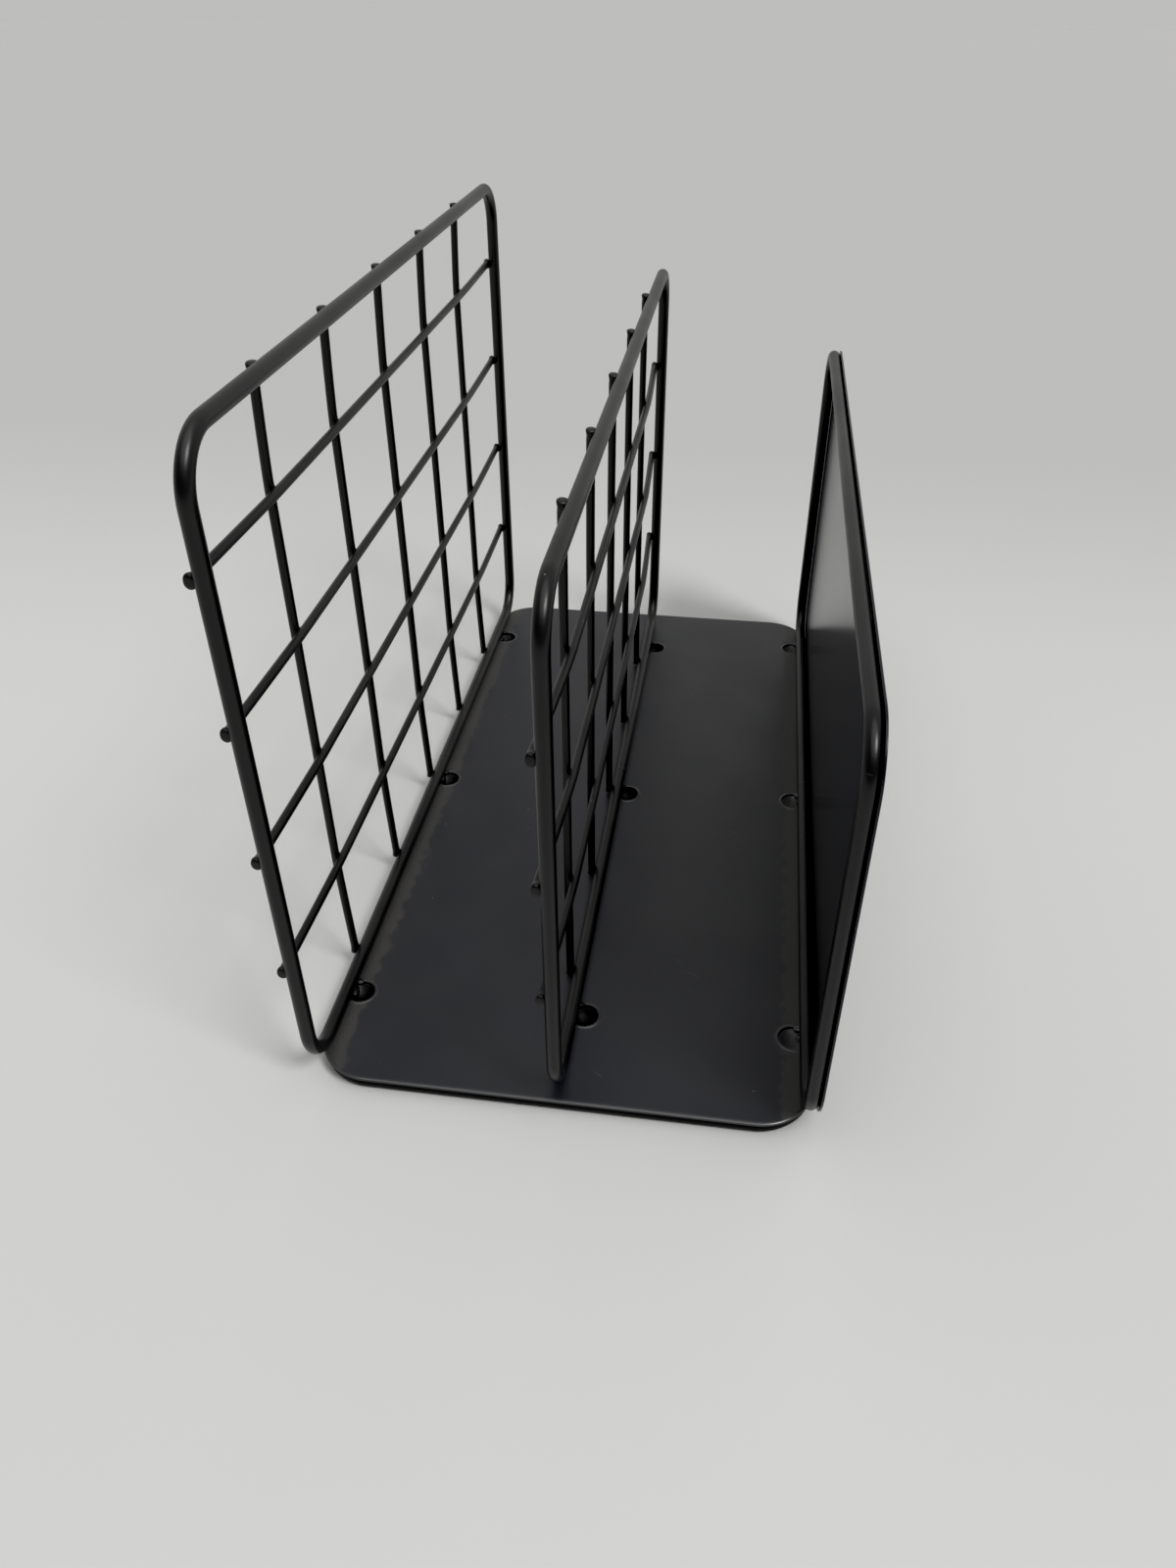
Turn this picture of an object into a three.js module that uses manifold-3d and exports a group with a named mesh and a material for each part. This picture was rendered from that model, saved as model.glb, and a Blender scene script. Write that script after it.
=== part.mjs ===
// A desktop magazine rack of welded steel wire and sheet, powder-coated black.
// The base is a sheet on a loop of round wire. Three panels stand across it, each lower than the last:
// a tall wire grid, a lower wire grid in the middle, and a low loop backed by a plain sheet.
// The panels are tacked down through round holes in the base sheet.
// Millimetres. +Z is up, -Y is the front, and +X runs from the tall panel to the low one.

import * as THREE from 'three';
import { mergeVertices } from 'three/addons/utils/BufferGeometryUtils.js';
import Module from 'manifold-3d';

const wasm = await Module();
wasm.setup();

// ---- Stock ----
const LOOP_WIRE = 5; // diameter of the wire in the loops
const GRID_WIRE = 2.9; // diameter of the wire in the grids
const BASE_SHEET = 1; // thickness
const PANEL_SHEET = 0.8; // thickness
const WELD_GAP = 0.05; // between two pieces that are welded where they touch

// ---- Base ----
const BASE_WIDTH = 170;
const BASE_DEPTH = 339;
const BASE_CORNER = 20; // outer radius of the sheet's corners
const RIM_SET_IN = 0.8; // from the sheet's edge to the outside of the rim wire

// ---- Panels ----
const TALL_HEIGHT = 219; // each height is from the base sheet to the top of the loop
const MIDDLE_HEIGHT = 185.5;
const LOW_HEIGHT = 152;
const PANEL_BEND = 16; // centre-line radius of a loop's corners
const PANEL_PROUD = 1.5; // how far the loops stand in front of and behind the base sheet
const OUTER_PANEL_SET_IN = 0.5; // from the base sheet's side edge to the outside of a loop

// ---- Grids, welded to the -X side of their loops ----
const TALL_ROWS = 4;
const MIDDLE_ROWS = 3;
const COLUMNS = 5;
const TOP_ROW_DROP = 34.2; // from the tall loop's top wire down to its top row
const ROW_OVERHANG = 1.2; // how far a row's end passes the centre of the loop's post
const COLUMN_TOP_OVERHANG = 1.5; // how far a column's end passes the centre of the top wire
const COLUMN_FOOT_OVERHANG = 1.5; // how far a column's end passes the centre of the bottom wire
const TALL_ROW_SET_BACK = 2.4; // from the loop's plane to the rows, away from their ends
const MIDDLE_ROW_SET_BACK = 1.3;

// ---- Tack welds, through holes in the base sheet ----
const WELD_HOLE = 9.4; // diameter
const WELD_HOLE_OFFSET = 4.2; // from the loop's plane to the hole's centre
const FRONT_WELD_FROM_POST = 37; // from a loop's front post to the first hole
const BACK_WELD_FROM_POST = 37; // from the last hole to the back post
const LOW_BACK_WELD_FROM_POST = 28; // the same on the low panel
const TACK_HEIGHT = 3.4;
const TACK_LENGTH = 8.4;
const TACK_CLEARANCE = 0.3;

// ---- Fineness ----
const LOOP_SIDES = 12;
const GRID_SIDES = 8;
const BEND_STEPS = 6; // steps in a loop's corner
const FLEX_STEPS = 5; // steps from a grid wire's weld to its first crossing
const HOLE_STEPS = 20;
const TACK_SIDES = 14;

// ---- Sizes that follow ----
const loopRadius = LOOP_WIRE / 2;
const gridRadius = GRID_WIRE / 2;
const sheetTop = LOOP_WIRE + BASE_SHEET;
const bottomWireZ = sheetTop + loopRadius;
const postY = BASE_DEPTH / 2 + PANEL_PROUD - loopRadius;
const outerPanelX = BASE_WIDTH / 2 - OUTER_PANEL_SET_IN - loopRadius;
const weldedOffset = loopRadius + gridRadius + WELD_GAP;
const crossingOffset = GRID_WIRE + WELD_GAP;
const columnPitch = (2 * postY) / (COLUMNS + 1);
const firstColumnY = postY - columnPitch;
const rowPitch = (TALL_HEIGHT - LOOP_WIRE - TOP_ROW_DROP) / TALL_ROWS;

const sheetOuterX = outerPanelX + loopRadius + WELD_GAP + PANEL_SHEET;
const columnOuterX = -outerPanelX - TALL_ROW_SET_BACK - crossingOffset - gridRadius;

const PANELS = [
  {
    name: 'tall',
    x: -outerPanelX,
    height: TALL_HEIGHT,
    rows: TALL_ROWS,
    setBack: TALL_ROW_SET_BACK,
    inward: 1, // the side that its weld holes are on
    backWeld: BACK_WELD_FROM_POST,
  },
  {
    name: 'middle',
    x: 0,
    height: MIDDLE_HEIGHT,
    rows: MIDDLE_ROWS,
    setBack: MIDDLE_ROW_SET_BACK,
    inward: 1,
    backWeld: BACK_WELD_FROM_POST,
  },
  {
    name: 'low',
    x: outerPanelX,
    height: LOW_HEIGHT,
    rows: 0,
    setBack: 0,
    inward: -1,
    backWeld: LOW_BACK_WELD_FROM_POST,
  },
];

// ---- Materials: one black powder coat, glossier where it lies on flat sheet ----
const coat = (color, roughness) => new THREE.MeshStandardMaterial({ color, roughness, metalness: 0.1 });
const wireCoat = coat(0x1b1b1d, 0.45);
const gridCoat = coat(0x171719, 0.5);
const baseCoat = coat(0x1d1e21, 0.4);
const panelCoat = coat(0x1a1a1e, 0.3);
const tackCoat = coat(0x141416, 0.5);

const rack = new THREE.Group();

function addPiece(name, geometry, material, parent = rack) {
  const mesh = new THREE.Mesh(geometry, material);
  mesh.name = name;
  parent.add(mesh);
  return mesh;
}

// A closed rounded rectangle in the XY plane, `width` by `depth` between centre lines.
// Its stations are the ends of the straight sides and equal steps around each corner.
class RoundedLoop extends THREE.Curve {
  constructor(width, depth, bend) {
    super();
    this.corner = new THREE.Vector2(width / 2 - bend, depth / 2 - bend);
    this.bend = bend;
    this.stations = 4 * (BEND_STEPS + 1);
  }

  cornerAngle(t) {
    const station = (((t * this.stations) % this.stations) + this.stations) % this.stations;
    const quarter = Math.floor(station / (BEND_STEPS + 1));
    const step = Math.min(station - quarter * (BEND_STEPS + 1), BEND_STEPS);
    return { quarter, angle: ((quarter + step / BEND_STEPS) * Math.PI) / 2 };
  }

  getPoint(t) {
    const { quarter, angle } = this.cornerAngle(t);
    const sideX = quarter === 0 || quarter === 3 ? 1 : -1;
    const sideY = quarter < 2 ? 1 : -1;
    const x = sideX * this.corner.x + this.bend * Math.cos(angle);
    const y = sideY * this.corner.y + this.bend * Math.sin(angle);
    return new THREE.Vector3(x, y, 0);
  }

  getTangent(t) {
    const { angle } = this.cornerAngle(t);
    return new THREE.Vector3(-Math.sin(angle), Math.cos(angle), 0);
  }

  getPointAt(u) {
    return this.getPoint(u);
  }

  getTangentAt(u) {
    return this.getTangent(u);
  }
}

function loopGeometry(width, depth, bend) {
  const path = new RoundedLoop(width, depth, bend);
  return closed(new THREE.TubeGeometry(path, path.stations, loopRadius, LOOP_SIDES, true));
}

// Only positions, with shared corners merged, so that each surface is one closed skin.
function closed(geometry) {
  geometry.deleteAttribute('normal');
  geometry.deleteAttribute('uv');
  const merged = mergeVertices(geometry, 1e-4);
  merged.computeVertexNormals();
  return merged;
}

// A grid wire along Z, from `low` to `high`, offset along -X. It is welded at `lowWeld` and `highWeld`
// and flexes over to its crossings, which start at `lowCrossing` and end at `highCrossing`.
class FlexedWire extends THREE.Curve {
  constructor(shape) {
    super();
    Object.assign(this, shape);
    this.stations = [this.low];
    for (let step = 0; step <= FLEX_STEPS; step += 1) {
      this.stations.push(THREE.MathUtils.lerp(this.lowWeld, this.lowCrossing, step / FLEX_STEPS));
    }
    for (let step = 0; step <= FLEX_STEPS; step += 1) {
      this.stations.push(THREE.MathUtils.lerp(this.highCrossing, this.highWeld, step / FLEX_STEPS));
    }
    this.stations.push(this.high);
    this.steps = this.stations.length - 1;
  }

  getPoint(t) {
    const place = t * this.steps;
    const station = Math.min(Math.floor(place), this.steps - 1);
    const z = THREE.MathUtils.lerp(this.stations[station], this.stations[station + 1], place - station);
    const fromLow = THREE.MathUtils.smoothstep(z, this.lowWeld, this.lowCrossing);
    const fromHigh = 1 - THREE.MathUtils.smoothstep(z, this.highCrossing, this.highWeld);
    const offset = THREE.MathUtils.lerp(this.weldOffset, this.crossOffset, Math.min(fromLow, fromHigh));
    return new THREE.Vector3(-offset, 0, z);
  }

  getPointAt(u) {
    return this.getPoint(u);
  }

  getTangentAt(u) {
    return this.getTangent(u);
  }
}

function gridWireGeometry(shape) {
  const section = new THREE.Shape().absarc(0, 0, gridRadius, 0, 2 * Math.PI);
  const extrudePath = new FlexedWire(shape);
  // A full circle is drawn with two sides for each curve segment.
  const settings = {
    steps: extrudePath.steps,
    extrudePath,
    curveSegments: GRID_SIDES / 2,
    bevelEnabled: false,
  };
  return closed(new THREE.ExtrudeGeometry(section, settings));
}

function roundedOutline(width, depth, corner) {
  const x = width / 2 - corner;
  const y = depth / 2 - corner;
  const quarter = Math.PI / 2;
  return new THREE.Shape()
    .absarc(x, y, corner, 0, quarter)
    .absarc(-x, y, corner, quarter, 2 * quarter)
    .absarc(-x, -y, corner, 2 * quarter, 3 * quarter)
    .absarc(x, -y, corner, 3 * quarter, 4 * quarter);
}

const weldHoleX = (panel) => panel.x + panel.inward * WELD_HOLE_OFFSET;

// One hole near each post, and one midway between them.
function weldHoleYs(panel) {
  const front = -postY + FRONT_WELD_FROM_POST;
  const back = postY - panel.backWeld;
  return [front, (front + back) / 2, back];
}

function roundHole(x, y) {
  const radius = WELD_HOLE / 2;
  const points = [];
  for (let step = 0; step < HOLE_STEPS; step += 1) {
    const angle = (-2 * Math.PI * step) / HOLE_STEPS;
    points.push(new THREE.Vector2(x + radius * Math.cos(angle), y + radius * Math.sin(angle)));
  }
  return new THREE.Path(points);
}

function addBase() {
  const outline = roundedOutline(BASE_WIDTH, BASE_DEPTH, BASE_CORNER);
  for (const panel of PANELS) {
    for (const y of weldHoleYs(panel)) {
      outline.holes.push(roundHole(weldHoleX(panel), y));
    }
  }
  const settings = { depth: BASE_SHEET, bevelEnabled: false, curveSegments: BEND_STEPS };
  const sheet = addPiece('base_sheet', closed(new THREE.ExtrudeGeometry(outline, settings)), baseCoat);
  sheet.position.z = LOOP_WIRE;

  const inset = RIM_SET_IN + loopRadius;
  const rim = loopGeometry(BASE_WIDTH - 2 * inset, BASE_DEPTH - 2 * inset, BASE_CORNER - inset);
  addPiece('base_rim_wire', rim, wireCoat).position.z = loopRadius;
}

// The loop stands on edge in the YZ plane of its own group, with the group's origin on its bottom wire.
function addPanelLoop(panel, group) {
  const height = panel.height - LOOP_WIRE;
  const geometry = loopGeometry(height, 2 * postY, PANEL_BEND);
  const loop = addPiece(`${panel.name}_panel_loop`, geometry, wireCoat, group);
  loop.rotation.y = -Math.PI / 2;
  loop.position.z = height / 2;
}

function addRows(panel, group) {
  const shape = {
    low: -postY - ROW_OVERHANG,
    lowWeld: -postY,
    lowCrossing: -firstColumnY,
    highCrossing: firstColumnY,
    highWeld: postY,
    high: postY + ROW_OVERHANG,
    weldOffset: weldedOffset,
    crossOffset: panel.setBack,
  };
  for (let row = 1; row <= panel.rows; row += 1) {
    const wire = addPiece(`${panel.name}_row_${row}`, gridWireGeometry(shape), gridCoat, group);
    wire.rotation.x = -Math.PI / 2;
    wire.position.z = row * rowPitch;
  }
}

function addColumns(panel, group) {
  const topWire = panel.height - LOOP_WIRE;
  const shape = {
    low: -COLUMN_FOOT_OVERHANG,
    lowWeld: 0,
    lowCrossing: rowPitch,
    highCrossing: panel.rows * rowPitch,
    highWeld: topWire,
    high: topWire + COLUMN_TOP_OVERHANG,
    weldOffset: weldedOffset,
    crossOffset: panel.setBack + crossingOffset,
  };
  for (let column = 1; column <= COLUMNS; column += 1) {
    const wire = addPiece(`${panel.name}_column_${column}`, gridWireGeometry(shape), gridCoat, group);
    wire.position.y = -postY + column * columnPitch;
  }
}

// The low panel's sheet covers the outside of its loop and shares the loop's outline.
function addPanelSheet(panel, group) {
  const outline = roundedOutline(panel.height, 2 * postY + LOOP_WIRE, PANEL_BEND + loopRadius);
  const settings = { depth: PANEL_SHEET, bevelEnabled: false, curveSegments: BEND_STEPS };
  const geometry = closed(new THREE.ExtrudeGeometry(outline, settings));
  const sheet = addPiece(`${panel.name}_panel_sheet`, geometry, panelCoat, group);
  sheet.rotation.y = Math.PI / 2;
  sheet.position.set(loopRadius + WELD_GAP, 0, panel.height / 2 - loopRadius);
}

function toSolid(geometry) {
  const skin = closed(geometry);
  return new wasm.Manifold(new wasm.Mesh({
    numProp: 3,
    vertProperties: new Float32Array(skin.attributes.position.array),
    triVerts: new Uint32Array(skin.index.array),
  }));
}

function toGeometry(solid) {
  const mesh = solid.getMesh();
  const geometry = new THREE.BufferGeometry();
  geometry.setAttribute('position', new THREE.BufferAttribute(new Float32Array(mesh.vertProperties), 3));
  geometry.setIndex(new THREE.BufferAttribute(new Uint32Array(mesh.triVerts), 1));
  geometry.computeVertexNormals();
  return geometry;
}

// A rod along Y as long as a tack, to cut the tack clear of the wire that it is welded to.
function wireCutter(x, z) {
  const rod = new THREE.CylinderGeometry(1, 1, 2 * TACK_LENGTH, 2 * LOOP_SIDES);
  rod.scale(loopRadius + TACK_CLEARANCE, 1, loopRadius + TACK_CLEARANCE);
  return toSolid(rod.translate(x, 0, z));
}

// A tack is a bead in its hole, hollowed by the panel's bottom wire above and the rim wire below.
// It is shaped about the hole's centre, level with the middle of the base sheet.
function tackGeometry(panel) {
  const holeToWire = -panel.inward * WELD_HOLE_OFFSET;
  const bead = new THREE.SphereGeometry(1, TACK_SIDES, TACK_SIDES / 2);
  bead.scale(WELD_HOLE / 2 - TACK_CLEARANCE, TACK_LENGTH / 2, TACK_HEIGHT / 2);
  const hole = new THREE.CylinderGeometry(1, 1, LOOP_WIRE, HOLE_STEPS);
  hole.rotateX(Math.PI / 2);
  hole.scale(WELD_HOLE / 2 - TACK_CLEARANCE, WELD_HOLE / 2 - TACK_CLEARANCE, 1);
  const wireHeight = BASE_SHEET / 2 + loopRadius;
  const lean = holeToWire / 4;
  let tack = toSolid(bead.translate(lean, 0, 0)).intersect(toSolid(hole));
  tack = tack.subtract(wireCutter(holeToWire, wireHeight));
  if (panel.x !== 0) {
    const rimX = Math.sign(panel.x) * (BASE_WIDTH / 2 - RIM_SET_IN - loopRadius);
    tack = tack.subtract(wireCutter(rimX - weldHoleX(panel), -wireHeight));
  }
  return toGeometry(tack);
}

function addTacks(panel) {
  weldHoleYs(panel).forEach((y, index) => {
    const tack = addPiece(`${panel.name}_tack_${index + 1}`, tackGeometry(panel), tackCoat);
    tack.position.set(weldHoleX(panel), y, LOOP_WIRE + BASE_SHEET / 2);
  });
}

addBase();
for (const panel of PANELS) {
  const group = new THREE.Group();
  group.position.set(panel.x, 0, bottomWireZ);
  rack.add(group);
  addPanelLoop(panel, group);
  if (panel.rows > 0) {
    addRows(panel, group);
    addColumns(panel, group);
  } else {
    addPanelSheet(panel, group);
  }
  addTacks(panel);
}

// The origin is under the middle of the whole rack, on the surface that it stands on.
rack.position.x = -(sheetOuterX + columnOuterX) / 2;

export default rack;
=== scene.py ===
# %% [markdown]
# # A magazine rack of black coated wire
# The rack is welded from two thicknesses of round steel wire and two flat steel sheets, and then
# coated all over with black powder. A rounded base sheet lies on a loop of wire. Three panels stand
# across it: a tall wire grid, a lower wire grid, and a low loop with a plain sheet on its outside.
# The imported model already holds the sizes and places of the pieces, so this script starts by reading
# it. Only what a box can't tell, such as a bend or a softened edge, is given here. Each piece made here
# takes its place from the model's boxes and shows instead of the plain solid. Everything is in metres:
# +Z is up, -Y is the front, and +X runs from the tall panel to the low one.

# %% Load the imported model
import math
import random

import bmesh
import bpy
from mathutils import Matrix, Vector, noise


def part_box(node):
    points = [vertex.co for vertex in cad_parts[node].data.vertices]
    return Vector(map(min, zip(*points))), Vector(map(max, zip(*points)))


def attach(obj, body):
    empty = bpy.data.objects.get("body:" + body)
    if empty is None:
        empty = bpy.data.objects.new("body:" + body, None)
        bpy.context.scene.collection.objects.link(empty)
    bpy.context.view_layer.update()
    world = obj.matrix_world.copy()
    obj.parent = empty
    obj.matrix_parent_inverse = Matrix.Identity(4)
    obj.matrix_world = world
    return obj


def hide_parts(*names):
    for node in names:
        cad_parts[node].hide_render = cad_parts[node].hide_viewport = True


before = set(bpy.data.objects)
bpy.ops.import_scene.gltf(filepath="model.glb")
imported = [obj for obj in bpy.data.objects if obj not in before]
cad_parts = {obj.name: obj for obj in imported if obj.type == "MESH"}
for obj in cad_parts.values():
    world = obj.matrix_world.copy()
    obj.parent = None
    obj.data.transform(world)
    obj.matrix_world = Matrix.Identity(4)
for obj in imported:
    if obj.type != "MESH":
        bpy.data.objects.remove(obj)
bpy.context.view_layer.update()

MM = 0.001
print("nodes in the packed model:", len(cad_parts))

# %% [markdown]
# ## Where things stand
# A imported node's box is enough to place a straight wire or a flat loop: the loop's plane is the
# middle of its box, and the wire's thickness is the box's thin side. A grid wire is welded to the
# side of its loop, and between the welds it flexes a little towards the loop's plane. So its two
# offsets from the plane also come from its box: one from each face.

# %% Measure the loops and the grid wires
X, Y, Z = Vector((1, 0, 0)), Vector((0, 1, 0)), Vector((0, 0, 1))


def middle(node):
    low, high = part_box(node)
    return (low + high) / 2


def size(node):
    low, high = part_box(node)
    return high - low


LOOP_RADIUS = size("tall_panel_loop").x / 2
GRID_RADIUS = size("tall_row_1").z / 2
ROWS = {"tall": 4, "middle": 3}
COLUMNS = 5
PANELS = ("tall", "middle", "low")


def numbered(panel, kind, count):
    return [f"{panel}_{kind}_{number}" for number in range(1, count + 1)]


def plane_of(panel):
    return middle(f"{panel}_panel_loop").x


print("loop wire, mm:", round(2 * LOOP_RADIUS / MM, 2), " grid wire, mm:", round(2 * GRID_RADIUS / MM, 2))
print("panel planes, mm:", [round(plane_of(panel) / MM, 2) for panel in PANELS])

# %% [markdown]
# ## A wire
# Bent wire keeps its round section all the way along. A curve with a bevel would draw it, but a
# swept ring of points also lets the surface swell where a weld sits and lets the cut ends lose their
# sharp edge, as they do under a coat of powder. Every wire here bends in one flat plane, so the ring
# never twists: one of its axes is always the plane's normal.

# %% A tube swept along a list of stations
WIRE_SIDES = 32


def new_piece(name, mesh_builder):
    mesh = bpy.data.meshes.new(name)
    mesh_builder.normal_update()
    bmesh.ops.recalc_face_normals(mesh_builder, faces=mesh_builder.faces)
    mesh_builder.to_mesh(mesh)
    mesh_builder.free()
    for face in mesh.polygons:
        face.use_smooth = True
    piece = bpy.data.objects.new(name, mesh)
    bpy.context.scene.collection.objects.link(piece)
    return piece


def bell(distance, spread):
    """1 at no distance, falling smoothly to almost 0 beyond twice the spread."""
    return math.exp(-(distance / spread) ** 2)


def tangent_at(centres, index, closed):
    last = len(centres) - 1
    if closed:
        return (centres[(index + 1) % len(centres)] - centres[index - 1]).normalized()
    return (centres[min(index + 1, last)] - centres[max(index - 1, 0)]).normalized()


def sweep(builder, centres, radius_at, across, closed=False, sides=WIRE_SIDES):
    """Adds a tube. radius_at(station, angle) is its radius, and the angle is 0 towards `across`."""
    rings = []
    for station, centre in enumerate(centres):
        lift = tangent_at(centres, station, closed).cross(across).normalized()
        ring = []
        for side in range(sides):
            angle = 2 * math.pi * side / sides
            out = across * math.cos(angle) + lift * math.sin(angle)
            ring.append(builder.verts.new(centre + out * radius_at(station, angle)))
        rings.append(ring)
    pairs = list(zip(rings, rings[1:]))
    if closed:
        pairs.append((rings[-1], rings[0]))
    for near, far in pairs:
        for side in range(sides):
            after = (side + 1) % sides
            builder.faces.new((near[side], near[after], far[after], far[side]))
    if not closed:
        for ring, centre in ((rings[0], centres[0]), (rings[-1], centres[-1])):
            tip = builder.verts.new(centre)
            for side in range(sides):
                builder.faces.new((ring[side], ring[(side + 1) % sides], tip))


print("a wire has", WIRE_SIDES, "sides")

# %% [markdown]
# ## The four loops
# Each loop is one length of 5 mm wire, bent round four corners and butt-welded to itself. The joint
# is ground nearly flush, so only a faint swollen ring is left near the middle of the bottom wire, where
# it shows least. The path is a rounded rectangle with extra stations in its bends.

# %% The rounded loops
BEND_STEPS = 20
JOINT_SWELL = 0.10 * MM
JOINT_SPREAD = 0.7 * MM
JOINT_STEPS = 8


def rounded_rectangle(half_width, half_height, bend, steps):
    """Corner points of a rounded rectangle about the origin, as (across, up), starting low on the right."""
    points = []
    for corner, (side, end) in enumerate(((1, -1), (1, 1), (-1, 1), (-1, -1))):
        for step in range(steps + 1):
            angle = math.pi / 2 * (corner - 1 + step / steps)
            along = side * (half_width - bend) + bend * math.cos(angle)
            up = end * (half_height - bend) + bend * math.sin(angle)
            points.append((along, up))
    return points


def add_loop(name, node, bend, across, joint_at):
    """A closed wire loop in its node's place. `joint_at` is how far its butt weld is from the middle."""
    low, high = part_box(node)
    centre = (low + high) / 2
    side = Y if across == X else X
    up = Z if across == X else Y
    half = (high - low) / 2
    half_width, half_height = half.dot(side) - LOOP_RADIUS, half.dot(up) - LOOP_RADIUS
    corners = rounded_rectangle(half_width, half_height, bend, BEND_STEPS)
    joint = [joint_at + JOINT_SPREAD * 3 * (step / JOINT_STEPS - 1) for step in range(2 * JOINT_STEPS + 1)]
    points = [(place, -half_height) for place in joint] + corners
    centres = [centre + side * along + up * rise for along, rise in points]

    def radius_at(station, _angle):
        if station >= len(joint):
            return LOOP_RADIUS
        return LOOP_RADIUS + JOINT_SWELL * bell(joint[station] - joint_at, JOINT_SPREAD)

    builder = bmesh.new()
    sweep(builder, centres, radius_at, across, closed=True)
    return new_piece(name, builder)


PANEL_BEND = 16 * MM
BASE_CORNER = 20 * MM
base_low, base_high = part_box("base_sheet")
RIM_BEND = BASE_CORNER - (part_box("base_rim_wire")[0].x - base_low.x) - LOOP_RADIUS
JOINT_FROM_MIDDLE = 12 * MM
loops = {
    f"{panel}_panel_loop": add_loop(
        f"{panel}_loop_wire", f"{panel}_panel_loop", PANEL_BEND, X, JOINT_FROM_MIDDLE)
    for panel in PANELS
}
loops["base_rim_wire"] = add_loop("rim_wire", "base_rim_wire", RIM_BEND, Z, -JOINT_FROM_MIDDLE)
for node, piece in loops.items():
    print(piece.name, "has", len(piece.data.vertices), "points")

# %% [markdown]
# ## The grid wires
# The thin wires are cut with a pinch, which swells the end and leaves it a soft edge. They are joined by
# resistance welding: the wires are pressed together, a current melts the spot where they touch, and a
# little metal squeezes out into the corner. So at a weld the thin wire sinks a little into the thick
# one, its section is squashed flatter and wider, and it swells on the side that faces the other wire,
# where the two meet in a smooth neck.

# %% One grid wire
END_SOFTENING = 0.8 * MM
END_STEPS = 5
PLAIN_STEP = 6 * MM
WELD_STEP = 0.45 * MM
WELD_REACH = 3.2 * MM


def eased(value, start, end):
    """0 at `start` and 1 at `end`: almost straight between, and levelling off just before the end."""
    share = min(max((value - start) / (end - start), 0), 1)
    return 1 - (1 - share) ** 1.25


def places_along(start, end, welds):
    """Even steps along a wire, with closer ones round each weld and at the softened ends."""
    places = {start + step * (end - start) / round((end - start) / PLAIN_STEP)
              for step in range(round((end - start) / PLAIN_STEP) + 1)}
    reach = round(WELD_REACH / WELD_STEP)
    for weld in welds:
        places |= {weld + step * WELD_STEP for step in range(-reach, reach + 1)}
    for step in range(END_STEPS + 1):
        drop = END_SOFTENING * (1 - math.cos(math.pi / 2 * step / END_STEPS))
        places |= {start + drop, end - drop}
    kept = [start]
    for place in sorted(places):
        if kept[-1] + 0.01 * MM < place <= end:
            kept.append(place)
    return kept


def end_softening(place, start, end):
    """How much thinner the wire is here because its cut end has lost its edge."""
    distance = min(place - start, end - place)
    if distance >= END_SOFTENING:
        return 0
    part = 1 - distance / END_SOFTENING
    return END_SOFTENING * (1 - math.sqrt(max(0, 1 - part * part)))


WELD_SPREAD = 1.3 * MM
LOOP_SINK = 0.35 * MM
CROSS_SINK = 0.40 * MM
SQUASH = 0.30
TIP_SWELL = 0.32
TIP_SPREAD = 2.2 * MM


def add_grid_wire(name, node, along, flex, welds):
    """A grid wire along Y or Z. flex = (weld_low, cross_low, cross_high, weld_high).
    welds = [(place, side, height)], with side 1 towards +X and -1 towards -X."""
    low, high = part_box(node)
    centre = (low + high) / 2
    start, end = low.dot(along), high.dot(along)
    near_loop, near_grid = high.x - GRID_RADIUS, low.x + GRID_RADIUS
    if along == Y:
        welded_x, crossed_x = near_grid + LOOP_SINK, near_loop
    else:
        welded_x, crossed_x = near_loop + LOOP_SINK, near_grid + CROSS_SINK
    places = places_along(start, end, [place for place, _side, _height in welds])

    def x_at(place):
        from_low = eased(place, flex[0], flex[1])
        from_high = eased(-place, -flex[3], -flex[2])
        return welded_x + (crossed_x - welded_x) * min(from_low, from_high)

    fixed = centre - along * centre.dot(along)
    centres = [Vector((x_at(place), fixed.y, fixed.z)) + along * place for place in places]

    def radius_at(station, angle):
        place = places[station]
        facing = math.cos(angle)
        swell, squash = 0, 0
        for weld, side, height in welds:
            strength = bell(place - weld, WELD_SPREAD)
            swell += height * strength * max(0, side * facing) ** 2
            if weld in (flex[0], flex[3]):
                squash += SQUASH * strength
        tip = bell(min(place - start, end - place), TIP_SPREAD)
        section = 1 + squash * (1 - 2 * facing * facing) + TIP_SWELL * tip
        return (GRID_RADIUS - end_softening(place, start, end)) * section + swell

    builder = bmesh.new()
    sweep(builder, centres, radius_at, X)
    return new_piece(name, builder)


# %% [markdown]
# ## The two grids
# The rows and the columns of a grid cross each other and the loop at the same few places, so the places
# are worked out once for each grid and handed to every wire in it.

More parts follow.
